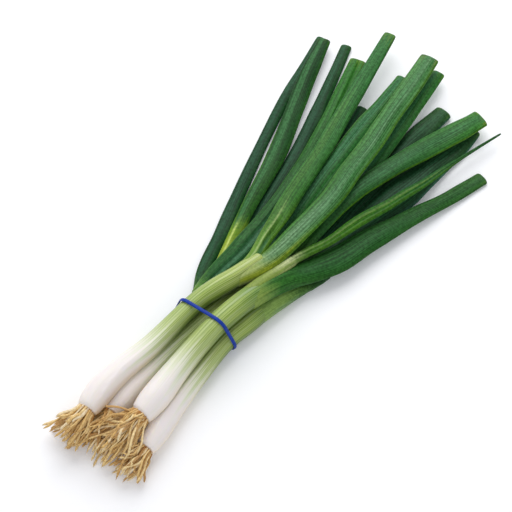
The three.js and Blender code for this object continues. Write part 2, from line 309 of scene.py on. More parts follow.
# Centre lines from the root plate to the collar: x, y, z and radius in millimetres
STALKS = [
    [(-140, 10, 16, 5.3), (-137, 10.5, 16, 7), (-131, 11.5, 16.3, 7.9), (-122, 12, 16.8, 7.9),
     (-108, 11, 17.2, 7.2), (-86, 7.5, 17.6, 6.4), (-53, 5.5, 18.4, 5.9), (-37, 2, 19, 6.3),
     (-22, -3, 19, 6.5), (-6, -7.3, 19, 6.5)],
    [(-131, 1, 7.8, 5), (-128, 1.5, 7.4, 6.6), (-122, 2, 7.2, 7.5), (-113, 2.5, 7.2, 7.7),
     (-99, 1.5, 7.6, 7.1), (-78, 0, 7.9, 6.5), (-52, -2.5, 8, 6.1), (-32, -5, 7.8, 5.9),
     (-12, -8, 7.5, 5.5)],
    [(-124, -16, 17, 5.6), (-121, -16, 17, 7.3), (-114, -15.5, 17.3, 8.3), (-105, -15, 17.6, 8.3),
     (-90, -14, 18.3, 7.4), (-72, -13.5, 19.1, 6.9), (-54, -14, 20, 6.8), (-35, -16, 18.8, 6.8),
     (-18, -19, 16.5, 6.7), (-5, -22, 14.5, 5.8)],
    [(-135, -28, 7.5, 5), (-132, -27.5, 7.3, 6.6), (-126, -26.5, 7.3, 7.5),
     (-117, -25, 7.4, 7.8), (-104, -23.5, 7.6, 7), (-83, -22, 8, 6.2), (-57, -21, 8.2, 5.7),
     (-38, -23.5, 7.8, 6), (-21, -26, 7, 5.9), (-7, -28, 6.2, 5.3)],
    [(-103, 13.8, 4.6, 3.6), (-100, 13.6, 5, 4.8), (-95, 13.2, 5.6, 5.7), (-87, 12.4, 6.2, 5.9),
     (-73, 10.5, 7, 5.4), (-53, 9.8, 7.2, 5), (-40, 9.8, 7.2, 5), (-27, 9.5, 7.4, 4.9)],
]
# The height of the ribs, how many go around and how each stalk turns them
RIBS = [(0.05, 22, 1), (0.04, 37, 2)]
# Below this share of a tube's length it is drawn to a point, to close its foot
POLE = 0.001
# Where the free edge of the outer sheath runs: its angle at the bulb and at the collar
SHEATH_EDGES = [(0.9, -0.5), (0.4, 0.2), (-0.3, -1.0), (0.2, -0.6), (0.3, 0.3)]
# How far the stalk draws in at its collar to slip inside the foot of a leaf, and the
# angles between which that starts: left of them the free lip of the sheath shows, and
# where they lie below every angle around the stalk there is none
COLLAR_DRAWS = [0.3, 0.3, 0.35, 0.4, 0.3]
LIP_EDGES = [(0.25, 0.7), (-9, -8), (-9, -8), (-9, -8), (-9, -8)]

pale_sheath = stalk_skin("moist onion sheath, white to pale green", "#b4c272")
green_sheath = stalk_skin("moist onion sheath, white to green", "#86a24c")
deep_sheath = stalk_skin("moist onion sheath, white to deep green", "#6f9344")
stalk_skins = [pale_sheath, green_sheath, deep_sheath, deep_sheath, green_sheath]
stalk_forms = zip(STALKS, SHEATH_EDGES, COLLAR_DRAWS, LIP_EDGES, stalk_skins)
for number, (rows, edge, draws, lip, skin) in enumerate(stalk_forms, start=1):

    def stalk_section(t, angle, radius):
        """A ribbed round with the step of the outer sheath, closed at its foot and cut
        to an uneven rim at its collar."""
        edge_angle = edge[0] + (edge[1] - edge[0]) * t + 0.06 * np.sin(9 * t + number)
        outer = smooth(-0.06, 0.06, angle - edge_angle) * smooth(0.12, 0.3, t)
        ribs = sum(height * np.sin(count * angle + turn * number) for height, count, turn in RIBS)
        collar = smooth(0.8, 0.97, t) * smooth(*lip, angle)
        size = radius * (1 - draws * collar) - SHEATH_STEP / 2 + SHEATH_STEP * outer + ribs
        size = size * np.where(t < POLE, 0, 1)
        rim = smooth(0.95, 1, t) * (1.6 * np.cos(angle + 0.8) + 0.9 * np.sin(3 * angle + number))
        return size * np.sin(angle), size * np.cos(angle), rim

    stalk = rolled_sheet(
        f"onion_{number}_bulb_and_stalk", STALK_SIDES, STALK_STEPS, rows, stalk_section,
    )
    refine(stalk, "SOLIDIFY", thickness=SHEATH_WALL * MM, offset=-1)
    refine(stalk, "SUBSURF", levels=1, render_levels=1)
    finish_piece(stalk, skin, f"onion_{number}_stem")

# Leaves: each is a hollow tube of waxy leaf, pressed nearly flat, that comes out of
# the collar at the top of its stalk. The crest carries a bluish bloom of wax, with a
# sheen painted along it, and some grooves and flanks carry painted shade. The folded
# edges are yellower, and the tip was trimmed and has closed to a blunt lip.

LEAF_SIDES = 40
LEAF_STEPS = 100
LEAF_WALL = 0.8
LEAF_FLATNESS = 0.25
TIP_ROUNDING = 2.2
TIP_REACH = 0.8
TIP_HOLLOW = 1.6
COLLAR_STEP = 0.14
# Soft dents in a leaf's width: how deep, how many along it and how its seed turns them
LEAF_DENTS = [(0.02, 17, 1), (0.015, 41, 2.3)]
# How deep the crown of a leaf is dented, for its thickness
CROWN_DENT = 0.06
# Veins around a leaf, about 0.3 mm apart, and broad streaks of about 2 mm. The mottle
# of the wax has so many cells to the metre, about 1.6 mm each.
LEAF_VEINS = 84
LEAF_STREAKS = 14
WAX_MOTTLE = 620


def leaf_skin(name, stops, bands, gloss=0.4, pale=0.0):
    """Onion leaf: green flesh under a thin coat of wax, with fine veins along it.
    Stops colour it from foot to tip, and each band is a stripe along it: painted sheen
    on the crest where the bluish wax bloom meets the light, a painted highlight on a
    ridge, painted shade in a groove or on a flank turned from the light, or a
    yellow-green edge. A band has its colour, its middle and half width around the leaf,
    its strength, and where it starts and stops. Up to pale the veins are faint."""
    material, shader = new_material(name)
    place = node(material, "ShaderNodeUVMap", {"uv_map": "UVMap"}).outputs["UV"]
    axes = node(material, "ShaderNodeSeparateXYZ", Vector=place)
    veins = skin_streaks(material, LEAF_VEINS, 3.0, 4.0)
    broad = skin_streaks(material, LEAF_STREAKS, 2.5, 2.0)
    wandering = []
    for axis, wander in (("X", 0.12), ("Y", 0.06)):
        shift = node(
            material, "ShaderNodeMath", {"operation": "MULTIPLY_ADD"},
            _0=broad, _1=wander, _2=-wander / 2,
        )
        wandering.append(node(
            material, "ShaderNodeMath", {"operation": "ADD"},
            _0=axes.outputs[axis], _1=shift.outputs[0],
        ).outputs[0])
    reach, girth = wandering
    colour = node(material, "ShaderNodeValToRGB", {"stops": stops}, Fac=reach).outputs["Color"]
    for stripe, middle, spread, share, start, stop in bands:
        across = node(material, "ShaderNodeValToRGB", {"stops": [
            (middle - spread, "#000000"), (middle - spread / 3, "#ffffff"),
            (middle + spread / 3, "#ffffff"), (middle + spread, "#000000"),
        ]}, Fac=girth)
        lengthwise = node(material, "ShaderNodeValToRGB", {"stops": [
            (max(0, start - 0.08), "#000000" if start > 0 else "#ffffff"), (start, "#ffffff"),
            (stop, "#ffffff"), (min(1, stop + 0.08), "#000000" if stop < 1 else "#ffffff"),
        ]}, Fac=reach)
        both = node(material, "ShaderNodeMath", {"operation": "MULTIPLY"},
                    _0=across.outputs["Color"], _1=lengthwise.outputs["Color"])
        factor = node(
            material, "ShaderNodeMath", {"operation": "MULTIPLY"}, _0=both.outputs[0], _1=share,
        )
        colour = node(
            material, "ShaderNodeMix", {"data_type": "RGBA"},
            Factor=factor.outputs[0], _6=colour, _7=linear(stripe),
        ).outputs[2]
    mottle = node(
        material, "ShaderNodeTexNoise", Scale=WAX_MOTTLE, Detail=4.0,
        Vector=node(material, "ShaderNodeTexCoord").outputs["Object"],
    ).outputs["Fac"]
    patterns = [(veins, 0.8, 0.34, "#728c64"), (mottle, 0.6, 0.35, "#86a080")]
    for pattern, share, low, dark in patterns:
        strength = node(
            material, "ShaderNodeMapRange", Value=reach,
            From_Min=pale - 0.06, From_Max=pale + 0.06, To_Min=share / 2, To_Max=share,
        ).outputs["Result"]
        shade = node(material, "ShaderNodeValToRGB", {"stops": [
            (low, dark), (0.6, "#ffffff"),
        ]}, Fac=pattern).outputs["Color"]
        colour = node(
            material, "ShaderNodeMix", {"data_type": "RGBA", "blend_type": "MULTIPLY"},
            Factor=strength, _6=colour, _7=shade,
        ).outputs[2]
    material.node_tree.links.new(colour, shader.inputs["Base Color"])
    bump = node(material, "ShaderNodeBump", Strength=0.35, Distance=0.25 * MM, Height=veins)
    material.node_tree.links.new(bump.outputs["Normal"], shader.inputs["Normal"])
    shader.inputs["Roughness"].default_value = gloss
    shader.inputs["IOR"].default_value = 1.42
    shader.inputs["Specular IOR Level"].default_value = 0.15
    return material


def leaf(
    cad_node, name, rows, material, seed, form=(2.4, 1.7), sheath=None, folds=(), collar=None,
):
    """One leaf along its centre line, with soft dents, whose rows give x, y, z and
    width in millimetres. Form is how square its section is. Where its sheath starts it
    is still round, as it is wrapped into the stalk, and it is flat where that stops.
    Folds are creases along it: their angle, depth, width, start and stop. At a collar
    an outer sheath ends."""
    length = sum(math.dist(a[:3], b[:3]) for a, b in zip(rows, rows[1:]))
    lip = TIP_ROUNDING / length

    def section(t, angle, width):
        """A pressed tube, closed to a point at its foot and to a lip at its tip."""
        flat = smooth(*sheath, t) if sheath else np.ones_like(t)
        if collar:
            width = width * (1 + COLLAR_STEP * (1 - smooth(collar - 0.005, collar + 0.005, t)))
        thick = width + (LEAF_WALL + LEAF_FLATNESS * width - width) * flat
        power = 2 + (form[0] - 2) * flat
        root = 2 + (form[1] - 2) * flat
        dents = (depth * np.sin(count * t + turn * seed) for depth, count, turn in LEAF_DENTS)
        dent = 1 + flat * sum(dents)
        end = np.clip((t - (1 - lip)) / lip, 0, 1)
        across = np.sin(angle) * width / 2 * dent * np.sqrt(1 - 0.2 * end**2)
        crown = np.clip(1 - np.abs(np.sin(angle)) ** power, 0, 1) ** (1 / root)
        upward = np.sign(np.cos(angle)) * crown * thick / 2 * np.sqrt(np.clip(1 - end**2, 0, 1))
        upward += CROWN_DENT * thick * flat * (1 - end) * np.sin(29 * t + 2 * angle + seed) * crown
        for place, depth, spread, start, stop in folds:
            within = smooth(start - 0.06, start, t) * (1 - smooth(stop, stop + 0.1, t))
            crease = np.exp(-((angle - place) / spread) ** 2) * within
            upward -= depth * thick * crease * (1 - end) * flat
        onward = TIP_REACH * smooth(0.9, 1, t) - TIP_HOLLOW * end * np.abs(np.sin(angle)) ** 4
        foot = np.where(t < POLE, 0, 1)
        return across * foot, upward * foot, onward

    piece = rolled_sheet(name, LEAF_SIDES, LEAF_STEPS, rows, section)
    refine(piece, "SUBSURF", levels=1, render_levels=1)
    finish_piece(piece, material, cad_node)


# Leaves of the first onion, on top: one wraps off the left of the stalk, one stands
# up out of its collar and the broad one, with a sheen painted along its crest,
# carries on its right side and runs over all the others.

left_leaf_rows = [
    (-46, 9.4, 14.2, 6.5), (-30, 10.8, 13, 9.5), (-6, 9.2, 13, 14.2), (9, 10, 12.5, 13),
    (26, 11, 11.5, 12), (51, 14, 10, 12), (75, 18, 9, 12), (103, 24, 9, 12.2),
    (127, 31, 8.5, 12), (159, 40.5, 8, 11.4),
]
# The bluish bands right of the crest are a painted highlight.
left_leaf_skin = leaf_skin(
    "waxy onion leaf, green with painted bluish highlight", stops=[
        (0.0, "#86a844"), (0.06, "#5c8c36"), (0.13, "#2d692e"), (0.5, "#275927"),
        (0.97, "#418834"), (1.0, "#709434"),
    ], bands=[
        ("#4c8261", 0.57, 0.09, 0.6, 0.06, 0.5), ("#3d7b38", 0.42, 0.06, 0.6, 0.3, 1),
        ("#336a47", 0.70, 0.09, 0.6, 0.1, 1), ("#4c822e", 0.28, 0.06, 0.5, 0, 1),
    ],
)
leaf("onion_1_leaf_1", "onion_1_left_leaf", left_leaf_rows, left_leaf_skin, 1.0,
     form=(2.0, 1.4), sheath=(0.03, 0.1), folds=((0.25, 0.3, 0.2, 0.1, 1),))

middle_leaf_rows = [
    (-20, -3, 19.4, 8), (-6, -3.6, 20.4, 8.6), (9, -0.4, 20.5, 9.2), (27, 3, 18.5, 11.4),
    (45, 7, 16.5, 12.4), (69, 11, 15, 12), (87, 14, 14.5, 11.6), (114, 20, 14, 11.2),
    (144, 26, 13.5, 10.6), (186, 34.5, 13.5, 8.2),
]
# The pale line on the ridge near the foot is a painted highlight; the dark band in the groove
# right of the ridge and the dark band on the right flank are painted shade.
middle_leaf_skin = leaf_skin(
    "waxy onion leaf, bright", stops=[
        (0.0, "#90a857"), (0.10, "#789e3e"), (0.24, "#5e8c30"), (0.42, "#3d782e"),
        (0.7, "#41803f"), (0.97, "#418144"), (1.0, "#6c923f"),
    ], bands=[
        ("#a5be77", 0.48, 0.03, 0.8, 0, 0.34), ("#26603f", 0.57, 0.06, 0.75, 0.02, 0.2),
        ("#4f7d1b", 0.68, 0.07, 0.7, 0.03, 0.4), ("#2b651d", 0.70, 0.08, 0.7, 0.42, 1),
        ("#598c3f", 0.42, 0.10, 0.5, 0.36, 0.8), ("#4f824e", 0.29, 0.05, 0.5, 0.4, 1),
    ], pale=0.2,
)
leaf("onion_1_leaf_2", "onion_1_middle_leaf", middle_leaf_rows, middle_leaf_skin, 2.1,
     form=(2.6, 1.7), sheath=(0.1, 0.3), folds=((0.42, 0.55, 0.22, 0.05, 0.26),))

broad_leaf_rows = [
    (-44, 3.4, 18.2, 8.6), (-34, 0.6, 18.4, 9.4), (-22, -3.8, 18.8, 11), (-10, -9, 19, 12.6),
    (2, -11.9, 19.5, 12.9), (22, -13, 20, 13.6), (55, -14, 19.5, 13.9), (80, -11, 19, 14.1),
    (104, -9, 18, 14.2), (130, -5, 17, 13.8), (157, -2, 16.5, 13.6), (184.5, 2, 16, 12.6),
]
# The bluish bands and the fine light line along the crest are a painted sheen, and the two pale
# stripes at the foot are painted highlights.
broad_leaf_skin = leaf_skin(
    "waxy onion leaf, crest with painted sheen", stops=[
        (0.0, "#a9b969"), (0.22, "#b2c073"), (0.30, "#a4b862"), (0.365, "#76a04c"),
        (0.44, "#4c8a3c"), (0.55, "#3f7c34"), (0.97, "#5d9856"), (1.0, "#6f8448"),
    ], bands=[
        ("#7da67c", 0.5, 0.13, 0.8, 0.345, 0.50), ("#4c8552", 0.51, 0.11, 0.75, 0.52, 1),
        ("#7aa878", 0.53, 0.04, 0.45, 0.5, 1), ("#9aa922", 0.66, 0.08, 0.85, 0.20, 0.40),
        ("#4d7c14", 0.69, 0.06, 0.8, 0.40, 1), ("#4f7a57", 0.79, 0.06, 0.6, 0.42, 0.66),
        ("#55883c", 0.3, 0.06, 0.6, 0.34, 1), ("#ccd89c", 0.46, 0.08, 0.35, 0, 0.26),
        ("#c4cf90", 0.57, 0.03, 0.3, 0, 0.30),
    ], gloss=0.34, pale=0.3,
)
leaf("onion_1_leaf_3", "onion_1_broad_leaf", broad_leaf_rows, broad_leaf_skin, 3.7,
     form=(1.7, 1.35), sheath=(0.26, 0.5),
     folds=((-0.55, 0.08, 0.15, 0.25, 1), (0.7, 0.12, 0.15, 0.2, 1)))

# Leaves of the second onion, under the first and third: they fill the middle of the
# fan, and one of them shows only as a small tip.

creased_leaf_rows = [
    (-14, -5, 9.5, 6), (0, -5, 9.5, 6.4), (20, -3.5, 9.5, 8.4), (42, -1.5, 10, 10.4),
    (68, 1.5, 11, 12.6), (88, 2.5, 11.5, 13.4), (113, 4.5, 11.5, 13.6), (132, 5.2, 11.5, 11.8),
    (150, 6.2, 11.5, 10), (162.5, 7.3, 11.5, 9),
]
# The bluish band on the crest is a painted sheen.
creased_leaf_skin = leaf_skin(
    "waxy onion leaf, creased", stops=[
        (0.0, "#669737"), (0.15, "#2b672b"), (0.6, "#2d6d2d"), (0.97, "#3c8134"), (1.0, "#5c8730"),
    ], bands=[
        ("#4c8a60", 0.44, 0.09, 0.65, 0.2, 1), ("#3c813d", 0.58, 0.06, 0.5, 0.2, 1),
        ("#6c9d53", 0.3, 0.05, 0.5, 0.5, 1), ("#7aa25a", 0.74, 0.04, 0.6, 0.3, 0.9),
    ],
)
leaf("onion_2_leaf_1", "onion_2_creased_leaf", creased_leaf_rows, creased_leaf_skin, 4.2,
     form=(2.2, 1.6), folds=((-0.15, 0.16, 0.16, 0.1, 1), (0.6, 0.12, 0.15, 0.3, 1)))

# The bluish band on the crest is a painted sheen.
dark_leaf_skin = leaf_skin(
    "waxy onion leaf, dark", stops=[
        (0.0, "#4d7c2c"), (0.10, "#235728"), (0.25, "#1d4e2a"), (0.6, "#1c472d"),
        (0.97, "#23542c"), (1.0, "#3a682c"),
    ], bands=[
        ("#316848", 0.44, 0.09, 0.6, 0.15, 1), ("#255d25", 0.62, 0.08, 0.5, 0, 1),
        ("#2f6432", 0.29, 0.06, 0.5, 0, 1),
    ],
)
short_leaf_rows = [
    (-14, -8, 6, 4.5), (0, -7, 4.6, 5), (40, -2.5, 4.6, 6.4), (81, 6, 5, 9), (112, 12.6, 5, 9.8),
    (131, 16.6, 5, 7.6),
]
leaf("onion_2_leaf_2", "onion_2_short_leaf", short_leaf_rows, dark_leaf_skin, 5.9)

straight_leaf_rows = [
    (-14, -11, 7, 4.5), (0, -12, 6.5, 5.4), (27, -13.5, 6.5, 7.4), (62, -17, 7.2, 8.3),
    (87, -17, 8, 8.4), (111, -15, 8.2, 9.2), (130, -13, 8.2, 9.2), (155, -9.7, 8, 9.8),
    (183.5, -6.6, 7.5, 9),
]
leaf("onion_2_leaf_3", "onion_2_straight_leaf", straight_leaf_rows, creased_leaf_skin, 6.3)

# Leaves of the third onion: a broad one with a yellow-green edge, one in a pale
# sheath that runs out to a long point, and the lowest, which is the outer sheath of
# the stalk itself and widens just above it.

edged_leaf_rows = [
    (-8, -18, 13, 6), (18, -19, 12.5, 8.6), (44, -18.5, 13, 10.7), (64, -19, 13, 12),
    (82, -22, 12.5, 12.8), (107, -28.5, 11, 13.8), (139, -39, 9.8, 15), (156, -45, 9.4, 14.4),
    (169, -49, 9.2, 13),
]
# The bluish band on the crest is a painted sheen.
edged_leaf_skin = leaf_skin(
    "waxy onion leaf, yellow-green edge", stops=[
        (0.0, "#558033"), (0.2, "#2e642b"), (0.6, "#346d33"), (0.97, "#4d913e"), (1.0, "#8ca12f"),
    ], bands=[
        ("#478052", 0.50, 0.10, 0.6, 0.3, 1), ("#789f6a", 0.275, 0.025, 0.8, 0.2, 1),
        ("#53850b", 0.72, 0.06, 0.9, 0.3, 1), ("#85a058", 0.775, 0.02, 0.6, 0.3, 1),
    ],
)
leaf("onion_3_leaf_1", "onion_3_edged_leaf", edged_leaf_rows, edged_leaf_skin, 7.4,
     form=(3.0, 1.7))

pointed_leaf_rows = [
    (-32, -15.4, 19.8, 8.6), (-18, -16.8, 19.4, 7), (-4, -19.4, 17.9, 6.2), (9, -21.7, 16.5, 6),
    (20, -25, 15.6, 6.2), (33, -30, 15.5, 6.2), (57, -35, 13.5, 8), (77, -41.5, 12.3, 7.4),
    (91, -45.2, 11.6, 6.6), (105, -49.2, 10.8, 5.7), (120, -52.4, 10, 4.5), (134, -55.7, 9.2, 2.8),
    (149, -59.7, 8.6, 2.1), (167.5, -65, 8, 1.4),
]
# The lighter band on the crest is a painted highlight, and so is the pale ring across the top of
# the collar step.
pointed_leaf_skin = leaf_skin(
    "waxy onion leaf, pale foot", stops=[
        (0.0, "#8fa252"), (0.10, "#98aa5a"), (0.18, "#a0b066"), (0.222, "#a9b476"),
        (0.232, "#4f7a24"), (0.45, "#3f7a1c"), (0.7, "#2a6a2a"), (1.0, "#356632"),
    ], bands=[
        ("#7fa04c", 0.46, 0.05, 0.45, 0.25, 0.7), ("#cfd5a2", 0.5, 0.2, 0.8, 0.216, 0.224),
        ("#4c7a14", 0.62, 0.07, 0.6, 0.24, 0.8), ("#6f8a4a", 0.76, 0.04, 0.4, 0.24, 0.9),
        ("#7f9a3c", 0.6, 0.06, 0.6, 0, 0.2),
    ], pale=0.22,
)
leaf("onion_3_leaf_2", "onion_3_pointed_leaf", pointed_leaf_rows, pointed_leaf_skin, 8.8,
     form=(2.0, 1.5), sheath=(0.12, 0.4), collar=0.226, folds=((0.25, 0.2, 0.2, 0.26, 1),))

low_leaf_rows = [
    (-32, -17, 18.2, 13.2), (-18, -20.2, 15.8, 13.3), (-5, -24, 12.8, 13.6), (5, -28, 10.8, 14.8),
    (15, -33, 9.6, 17.2), (31, -40, 8.6, 18.4), (52, -45.5, 7.4, 16.4), (71, -52, 6.2, 13.2),
    (89, -58, 5, 11.2), (107, -64.3, 3, 10.3), (122, -68.8, 1.9, 9.9), (137, -73.3, 1.5, 9.2),
]
# The bluish band on the crest is a painted sheen.
low_leaf_skin = leaf_skin(
    "waxy onion leaf, grown from the stalk", stops=[
        (0.0, "#8ea654"), (0.05, "#86a04c"), (0.09, "#688e42"), (0.14, "#38732b"),
        (0.5, "#2a6428"), (0.97, "#3d7333"), (1.0, "#5c843c"),
    ], bands=[
        ("#b6c28e", 0.335, 0.02, 0.8, 0, 0.14), ("#306336", 0.52, 0.10, 0.5, 0.3, 1),
        ("#6d8e73", 0.79, 0.03, 0.7, 0.1, 0.7), ("#356828", 0.7, 0.06, 0.5, 0.2, 1),
    ], gloss=0.46, pale=0.12,
)
leaf("onion_3_leaf_3", "onion_3_low_leaf", low_leaf_rows, low_leaf_skin, 9.5,
     form=(2.4, 1.7), sheath=(0.14, 0.42), folds=((-0.35, 0.08, 0.2, 0.3, 1),))

# Leaves of the fourth onion, lowest of all: two lie along the table in the shade of
# the others, and a short one is the outer sheath of the stalk.

shaded_leaf_rows = [
    (-10, -26.5, 5, 5.4), (5, -24.5, 3.4, 7), (22, -23.5, 2.6, 8.8), (55, -23, 2.6, 11.5),
    (94, -22, 2.4, 13), (120, -21.5, 2.4, 13.4), (140, -23.3, 2.4, 14.2), (163.5, -25.6, 2.3, 11),
]
# The bluish band on the crest is a painted sheen.
shaded_leaf_skin = leaf_skin(
    "waxy onion leaf, shaded", stops=[
        (0.0, "#4b7d38"), (0.2, "#204d2f"), (0.7, "#234f2f"), (0.97, "#346234"), (1.0, "#527c39"),
    ], bands=[
        ("#366848", 0.5, 0.1, 0.5, 0.2, 1), ("#528b76", 0.72, 0.06, 0.6, 0.2, 1),
        ("#306838", 0.29, 0.06, 0.5, 0, 1),
    ],
)
leaf("onion_4_leaf_1", "onion_4_shaded_leaf", shaded_leaf_rows, shaded_leaf_skin, 10.1)

flat_leaf_rows = [
    (-10, -29, 7.2, 5), (5, -29.5, 5, 6.6), (16, -30, 3.6, 8.4), (42, -32.2, 2.8, 13.6),
    (65, -34.6, 2.6, 18.4), (88, -38.6, 2.6, 23.4), (106, -41.6, 2.6, 22), (126, -44.6, 2.5, 17.4),
    (143, -47.6, 2.4, 14), (163.5, -49.2, 2.3, 9),
]
leaf("onion_4_leaf_2", "onion_4_flat_leaf", flat_leaf_rows, shaded_leaf_skin, 11.6)

sheath_leaf_rows = [
    (-34, -24.2, 7.5, 11.5), (-20, -26.3, 6.7, 12.3), (-8, -29.4, 5.7, 11.3), (2, -32.7, 4.4, 9.6),
    (10, -35.8, 3, 7.8), (21, -39.5, 2.2, 5.4),
]
sheath_leaf_skin = leaf_skin(
    "waxy onion leaf, short sheath", stops=[
        (0.0, "#8ca85a"), (0.3, "#7f9e50"), (0.55, "#5f8a42"), (0.8, "#3f6c3a"), (1.0, "#31603a"),
    ], bands=[
        ("#4a7b3f", 0.45, 0.1, 0.5, 0.2, 1), ("#688e64", 0.72, 0.06, 0.5, 0.2, 1),
    ], pale=0.4,
)
leaf("onion_4_leaf_3", "onion_4_short_sheath", sheath_leaf_rows, sheath_leaf_skin, 12.2,
     sheath=(0.3, 0.8))

# Leaves of the fifth onion, which hides under the first: they come out below it and
# fan to the left.

outer_leaf_rows = [
    (-41, 12.6, 7, 5), (-24, 20.6, 5.5, 8.2), (-1, 27.6, 4, 9.2), (25, 36.7, 2, 8.8),
    (64, 49.2, 1.35, 8), (107, 61.6, 1.25, 7.4), (131, 66.6, 1.2, 6.8), (163, 73.7, 1.1, 6),
]
leaf("onion_5_leaf_1", "onion_5_outer_leaf", outer_leaf_rows, dark_leaf_skin, 13.3,
     sheath=(0.04, 0.12))

yellow_foot_rows = [
    (-30, 9, 9, 4.4), (-12, 14.8, 8.2, 8), (9, 21.2, 7.4, 9), (28, 27.2, 6.2, 9.4),
    (67, 37.4, 4.4, 12.6), (103, 50.1, 4.8, 11.6), (130.5, 59.8, 6.2, 11.8), (160, 68.8, 6.2, 8.4),
]
# The thin pale line on the crest near the foot is a painted highlight, and the bluish band along
# the rest of the crest is a painted sheen.
yellow_foot_skin = leaf_skin(
    "waxy onion leaf, yellow foot", stops=[
        (0.0, "#afc052"), (0.2, "#9eb135"), (0.27, "#719617"), (0.37, "#31671d"), (0.6, "#245726"),
        (0.97, "#1f4e24"), (1.0, "#3d6726"),
    ], bands=[
        ("#c9db73", 0.44, 0.035, 0.85, 0, 0.3), ("#47874d", 0.43, 0.07, 0.7, 0.36, 1),
        ("#7c9211", 0.64, 0.08, 0.8, 0.05, 0.28), ("#336c20", 0.68, 0.08, 0.6, 0.36, 1),
        ("#558c29", 0.3, 0.05, 0.6, 0.2, 0.6),
    ], pale=0.3,
)
leaf("onion_5_leaf_2", "onion_5_yellow_foot_leaf", yellow_foot_rows, yellow_foot_skin, 14.8,
     form=(1.8, 1.4))

inner_leaf_rows = [
    (-30, 7, 6, 4), (-20, 9, 4.6, 6.4), (2, 14.2, 3, 8.2), (31, 20.4, 1.8, 9.4),
    (75, 28.7, 1.5, 9.4), (102, 35.6, 1.4, 9.8), (120, 41.2, 1.4, 9), (143, 48.3, 1.35, 8.2),
    (168, 56.4, 1.2, 7),
]
leaf("onion_5_leaf_3", "onion_5_inner_leaf", inner_leaf_rows, dark_leaf_skin, 15.9)

# Roots: each bulb ends in a corky plate with a tuft of dry, straw-coloured strands
# that fan out, curl and sag to the table.

PLATE_SIDES = 24
PLATE_STEPS = 10
STRAND_SIDES = 6
STRAND_STEPS = 18
GOLDEN_ANGLE = math.pi * (3 - math.sqrt(5))
# Spots on the dry skin of the roots: so many to the metre, about 1.1 mm each
ROOT_SPOTS = 900


def root_skin():
    """Dry roots: dull straw fibre, browner where it leaves the plate. Each strand has
    its own tint, and small darker spots roughen it."""
    material, shader = new_material("dry onion root, straw")
    place = node(material, "ShaderNodeUVMap", {"uv_map": "UVMap"}).outputs["UV"]
    axes = node(material, "ShaderNodeSeparateXYZ", Vector=place)
    tint = node(material, "ShaderNodeAttribute", {"attribute_name": "tint"})
    spots = node(
        material, "ShaderNodeTexNoise", Scale=ROOT_SPOTS, Detail=3.0,
        Vector=node(material, "ShaderNodeTexCoord").outputs["Object"],
    ).outputs["Fac"]
    length = node(material, "ShaderNodeValToRGB", {"stops": [
        (0.0, "#7a4618"), (0.08, "#b27a38"), (0.24, "#e6c07c"), (0.6, "#f2d498"), (1.0, "#eaca88"),
    ]}, Fac=axes.outputs["X"])
    shade = node(material, "ShaderNodeValToRGB", {"stops": [
        (0.0, "#a2682a"), (0.3, "#e2ba70"), (0.7, "#f8e0a8"), (1.0, "#fff6dc"),
    ]}, Fac=tint.outputs["Fac"])
    mixed = node(
        material, "ShaderNodeMix", {"data_type": "RGBA"},
        Factor=0.65, _6=length.outputs["Color"], _7=shade.outputs["Color"],
    )
    spot_shade = node(material, "ShaderNodeValToRGB", {"stops": [
        (0.35, "#b08c58"), (0.6, "#ffffff"),
    ]}, Fac=spots).outputs["Color"]
    spotted = node(
        material, "ShaderNodeMix", {"data_type": "RGBA", "blend_type": "MULTIPLY"},
        Factor=0.4, _6=mixed.outputs[2], _7=spot_shade,
    )
    material.node_tree.links.new(spotted.outputs[2], shader.inputs["Base Color"])
    bump = node(material, "ShaderNodeBump", Strength=0.4, Distance=0.2 * MM, Height=spots)
    material.node_tree.links.new(bump.outputs["Normal"], shader.inputs["Normal"])
    shader.inputs["Roughness"].default_value = 0.75
    shader.inputs["IOR"].default_value = 1.45
    return material


# Each tuft: how many strands, how far they reach from the plate in millimetres, how
# far they stray from that, how much they fan out from their seats, how much they rise
# and curl, and how thick they are.
TUFTS = [
    (76, (-20, 4, -10), (3, 3, 3), 2.2, 0, 0.7, 2.0),
    (100, (-22, -1, -5), (6, 9, 6), 1.8, 1, 2.8, 1.7),
    (120, (-26, 6, -11), (10, 11, 6), 1.9, 3, 2.2, 1.7),
    (60, (-19, 2, -5), (4, 5, 3), 1.8, 2, 1.4, 1.6),
    (26, (-14, 1, -3), (3, 3, 2), 1.5, 0, 0.8, 1.0),
]
SHORTEST_STRAND = 0.62
STRAND_KNOTS = 8
STRAND_FLATNESS = 0.62
# The strands end a millimetre short of the box of the solids
FURTHEST_X = cad_box[0][0] / MM - SHIFT_X + 1

